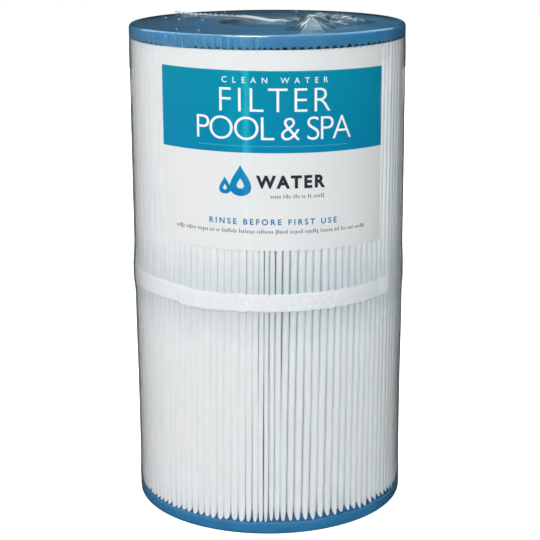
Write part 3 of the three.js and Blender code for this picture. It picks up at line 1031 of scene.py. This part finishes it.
def ear_height(x, y):
    """A peak over the ear's foot, with a flat face to each of its sides."""
    dx, dy = x - EAR_APEX[0], y - EAR_APEX[1]
    out = np.zeros_like(x)
    for (ax, ay), (bx, by) in zip(EAR_FOOT, EAR_FOOT[1:] + EAR_FOOT[:1]):
        nx, ny = (by - ay) * MM, -(bx - ax) * MM
        reach = nx * (ax * MM - EAR_APEX[0]) + ny * (ay * MM - EAR_APEX[1])
        out = np.maximum(out, (nx * dx + ny * dy) / reach)
    return EAR_HEIGHT * np.clip(1 - out, 0, 1) ** 1.35


def crumple(x, y, seed, size, count):
    """Sharp creases in all directions, from 0 up."""
    rng = np.random.default_rng(seed)
    total = 0.0
    for _ in range(count):
        way = rng.uniform(0, math.pi)
        wave = rng.uniform(0.5, 1.6) / size
        bend = np.sin((x * math.sin(way) + y * math.cos(way)) * 0.7 * TAU / size / 2)
        across = (x * math.cos(way) - y * math.sin(way)) * wave * math.pi
        total = total + np.abs(np.cos(across + bend + rng.uniform(0, 6)))
    return total / count


def gather_mask(x, y):
    """Where the end of the bag bunched up: from the seam's end round to the right and the ear."""
    path = [(13, -3), (30, 24), (38, 17), (42, 5), (47, -9), (36, -22), (26, -34), (21, -46)]
    near = np.full_like(x, 1.0)
    for ax, ay in path:
        near = np.minimum(near, np.hypot(x - ax * MM, y - ay * MM) / (15 * MM))
    return smooth(1.05 - near)


def cut_sheet(outer, keep, thick):
    """A closed thin body under those cells of a grid whose four corners are kept."""
    points, _ = shell(outer, outer - np.array([0, 0, thick]))
    nu, nv = keep.shape
    cell = keep[:-1, :-1] & keep[1:, :-1] & keep[1:, 1:] & keep[:-1, 1:]
    top = [f for f, k in zip(quads(0, nu, nv), cell.ravel()) if k]
    low = [[k + nu * nv for k in f[::-1]] for f in top]
    edges = {(a, b) for f in top for a, b in zip(f, f[1:] + f[:1])}
    walls = [[b, a, a + nu * nv, b + nu * nv] for a, b in sorted(edges) if (b, a) not in edges]
    used = np.zeros(len(points), bool)
    used[np.unique(top + low)] = True
    renumber = np.cumsum(used) - 1
    return points[used], [[int(renumber[k]) for k in f] for f in top + low + walls]


def film_gather(mat):
    """The bunched end of the bag, all small flat facets, with the ear standing in it."""
    rng = np.random.default_rng(97)
    step = 2.1 * MM
    rows = (np.arange(4 * MM, 62 * MM, step), np.arange(-71 * MM, 40 * MM, step))
    x, y = np.meshgrid(*rows, indexing="ij")
    x = x + rng.uniform(-0.35, 0.35, x.shape) * step
    y = y + rng.uniform(-0.35, 0.35, x.shape) * step
    peak = np.argmin(np.hypot(x - EAR_APEX[0], y - EAR_APEX[1]))
    x.flat[peak], y.flat[peak] = EAR_APEX
    mask = gather_mask(x, y) * rise(CAP_RADIUS - 2.5 * MM - np.hypot(x, y), 6)
    ear = ear_height(x, y)
    steep = ear / EAR_HEIGHT
    creased = rng.uniform(0, 1, x.shape)
    folds = crumple(x, y, 91, 9 * MM, 5) ** 2 * 1.4 * MM + 2.0 * MM * creased
    rough = 1.7 * MM * (creased - 0.4) * smooth(steep * 4) * (1 - steep**2)
    height = np.maximum(ear + rough, folds * mask**1.3)
    outer = np.stack([x, y, DECK + 0.12 * MM + height], -1)
    shape = cut_sheet(outer, (mask > 0.02) | (ear > 0), 2 * FILM)
    make("film_gather", *shape, mat, "film", smooth_shade=False)


def crease(points, half):
    """A thin white ridge along some points, where the film is folded double, and in places a
    painted highlight.
    """
    ends = distances(points)
    at = np.linspace(0, ends[-1], 9)
    line = np.stack([np.interp(at, ends, points[:, k]) for k in range(3)], 1)
    run = np.gradient(line, axis=0)
    side = np.stack([-run[:, 1], run[:, 0], 0 * at], 1)
    side /= np.linalg.norm(side, axis=1, keepdims=True)
    wide = half * (0.3 + 0.7 * np.sin(math.pi * at / ends[-1]))[:, None]
    up = np.array([0, 0, 1.0])
    grid = np.stack([line - side * wide, line + side * wide, line + up * wide], 1)
    faces = quads(0, 9, 3, wrap_v=True) + [[2, 1, 0], [24, 25, 26]]
    return grid, faces


def ear_creases(rng, deck):
    """The edges of the ear, one side of its foot and a fold, each with its half width."""
    apex = np.array([*EAR_APEX, deck + EAR_HEIGHT])
    foot = [np.array([x * MM, y * MM, deck]) for x, y in EAR_FOOT]
    lines = []
    for f in foot:
        bent = (apex + f) / 2 + rng.uniform(-1.2, 1.2, 3) * MM + [0, 0, 0.5 * MM]
        lines.append((np.array([apex, bent, f]), 0.2 * MM))
    lines.append((np.array([foot[0], foot[1]]), 0.16 * MM))
    # This wide fold is a white ridge in place of a highlight on the ear's front face: a painted
    # highlight.
    fold = apex + [0.5 * MM, -4 * MM, -1.8 * MM]
    lines.append((np.array([fold, fold + [-5 * MM, -7.5 * MM, -3.2 * MM]]), 0.5 * MM))
    return lines


def pinches(rng, deck):
    """Short folds in the gather, and specks scattered over the top, each with its half width."""
    lines = []
    for _ in range(34):
        turn, reach = rng.uniform(0, TAU), rng.uniform(2, 7) * MM
        start = np.array([rng.uniform(14, 50) * MM, rng.uniform(-45, 30) * MM, deck])
        near = float(gather_mask(start[0:1], start[1:2])[0])
        start[2] += 1.6 * MM * near
        step = reach * np.array([math.cos(turn), math.sin(turn), 0])
        middle = start + step / 2 + [0, 0, 0.6 * MM]
        if near > 0.3:
            lines.append((np.array([start, middle, start + step]), 0.28 * MM))
    # Painted highlights: the specks are tiny white pinches of film in place of glints.
    for _ in range(14):
        turn, radius = rng.uniform(0, TAU), rng.uniform(20, 66) * MM
        spot = np.array([radius * math.cos(turn), radius * math.sin(turn), deck - 0.1 * MM])
        lines.append((np.array([spot, spot + [rng.uniform(0.5, 1.4) * MM, 0.2 * MM, 0]]), 0.3 * MM))
    return lines


def film_creases(mat):
    rng = np.random.default_rng(123)
    deck = DECK + 0.3 * MM
    lines = ear_creases(rng, deck) + pinches(rng, deck)
    make("film_creases", *joined([crease(*line) for line in lines]), mat, "film")


def shrink_wrap():
    """The film, its seam, and its bunched end with the ear."""
    even = (1, 1, 1)
    side = film_material("shrink_film", 0.0, 0.95, 0.08, (1, 1, 0.12), 0.05 * MM)
    top = film_material("shrink_film_top", 0.0, 0.2, 0.12, even, 0.004 * MM)
    # Painted shade: the film's reflection is dimmed along the back edge of the top.
    feed(top, top.node_tree.nodes["Glossy BSDF"].inputs["Color"], far_rim(top, 1, 0.1))
    tucked = streaked(1500, (1, 1, 0.07), 0.38, 0.8)
    blue = (0.38, 0.80, 1.0)
    band = film_material("shrink_film_band", 0.19, 0.85, 0.1, (1, 1, 0.3), 0.03 * MM, tucked, blue)
    film(side, top, band)
    heavier = eastward(-40 * MM, -12 * MM, 0.5)
    grey = (0.78, 0.88, 0.92)
    film_seam(film_material("film_weld", 0.65, 0.4, 0.15, even, 0.05 * MM, heavier, grey))
    lifted = raised(LENGTH + 0.4 * MM, LENGTH + 3.0 * MM)
    pale = (0.75, 0.9, 0.97)
    film_gather(film_material("film_folds", 0.1, 0.2, 0.05, even, 0.02 * MM, lifted, pale))
    film_creases(film_material("film_folds_and_painted_glints", 0.5, 0.4, 0.1, even, 0.02 * MM))


# -------- core and seam glue


def coat(names, mat):
    """Gives pieces whose shape is kept their only material."""
    for name in names:
        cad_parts[name].data.materials.clear()
        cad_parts[name].data.materials.append(mat)


# -------- stage, light and camera


def floor():
    """A pale floor with walls, wide enough to fill every view round the object."""
    reach, tall = 12.0, 8.0
    corners = [(-reach, -reach, 0), (reach, -reach, 0), (reach, reach, 0), (-reach, reach, 0)]
    corners += [(x, y, tall) for x, y, _ in corners]
    walls = [(k, k + 4, (k + 1) % 4 + 4, (k + 1) % 4) for k in range(4)]
    mesh = bpy.data.meshes.new("floor")
    mesh.from_pydata(corners, [], [(0, 1, 2, 3), *walls])
    glow = {"Emission_Color": (1, 1, 1, 1), "Emission_Strength": 0.95}
    pale = node_material("pale_floor", (0.9, 0.9, 0.9), 0.9, Specular_IOR_Level=0.0, **glow)
    mesh.materials.append(pale)
    ground = put("floor", mesh)
    ground.visible_glossy = False
    ground.visible_diffuse = False


def lamp(
    name, azimuth, elevation, distance, width, height, power, gloss_only=False, colour=(1, 1, 1)
):
    """A soft rectangle of light that faces the object. It only lights, or only shows in gloss."""
    data = bpy.data.lights.new(name, "AREA")
    data.color = colour
    data.shape = "RECTANGLE"
    data.size = width
    data.size_y = height
    data.energy = power
    light = put(name, data)
    a, e = math.radians(azimuth), math.radians(elevation)
    away = np.array([math.sin(a) * math.cos(e), -math.cos(a) * math.cos(e), math.sin(e)])
    light.location = away * distance + np.array([0, 0, LENGTH / 2])
    light.rotation_euler = (math.pi / 2 - e, 0, a)
    light.visible_glossy = gloss_only
    light.visible_diffuse = not gloss_only


def lighting():
    lamp("side_left", -95, 12, 1.5, 1.0, 1.4, 10.5)
    lamp("key_left", -56, 14, 1.5, 1.2, 1.5, 10.3)
    lamp("front_fill", 6, 18, 2.0, 1.6, 1.6, 32)
    lamp("side_right", 46, 12, 1.8, 0.8, 1.4, 8.2, colour=(0.90, 1.0, 0.98))
    lamp("overhead", 0, 70, 1.6, 1.8, 1.2, 9)
    lamp("back_fill", 180, 4, 2.0, 1.0, 1.6, 30)
    lamp("sky_glow", 180, 60, 1.5, 3.2, 1.6, 32, gloss_only=True, colour=(0.5, 0.85, 1.0))
    lamp("rim_glint", -61, 80, 1.6, 0.45, 0.45, 12, gloss_only=True)
    lamp("strip_left", -17, -9, 1.3, 0.12, 0.3, 0.05, gloss_only=True, colour=(0.4, 1.0, 1.0))
    lamp("strip_right", 111, -9, 1.3, 0.3, 0.35, 0.25, gloss_only=True)


def sky():
    """A dim blue-green glow all round, stronger from behind the object."""
    world = bpy.data.worlds.new("studio")
    bpy.context.scene.world = world
    world.use_nodes = True
    way = node(world, "TexCoord"), "Generated"
    backwards = node(world, "SeparateXYZ", {"Vector": way}), "Y"
    background = world.node_tree.nodes["Background"]
    feed(world, background.inputs["Strength"], span(world, backwards, -0.6, 0.9, 0.004, 0.055))
    feed(world, background.inputs["Color"], (0.72, 0.95, 1.0, 1))


def camera():
    """In front, a little above the object's top, and looking slightly down."""
    data = bpy.data.cameras.new("camera")
    data.sensor_width = 36
    data.lens = CAMERA_LENS
    view = put("camera", data)
    view.location = CAMERA_AT
    view.rotation_euler = [math.radians(a) for a in (90 - CAMERA_DOWN, CAMERA_ROLL, CAMERA_TURN)]
    bpy.context.scene.camera = view


def main():
    camera()
    bpy.context.scene.view_settings.view_transform = "Standard"
    glue, cap = glue_material(), cap_material()
    pleated_media(media_material())
    bottom_cap(cap)
    top_cap(cap)
    strap(strap_material())
    strap_glue(glue)
    card_sheet()
    printed_panel()
    printed_lines()
    shrink_wrap()
    coat(["core_lower_half", "core_upper_half"], core_material())
    coat(["media_seam_glue"], glue)
    floor()
    lighting()
    sky()


main()
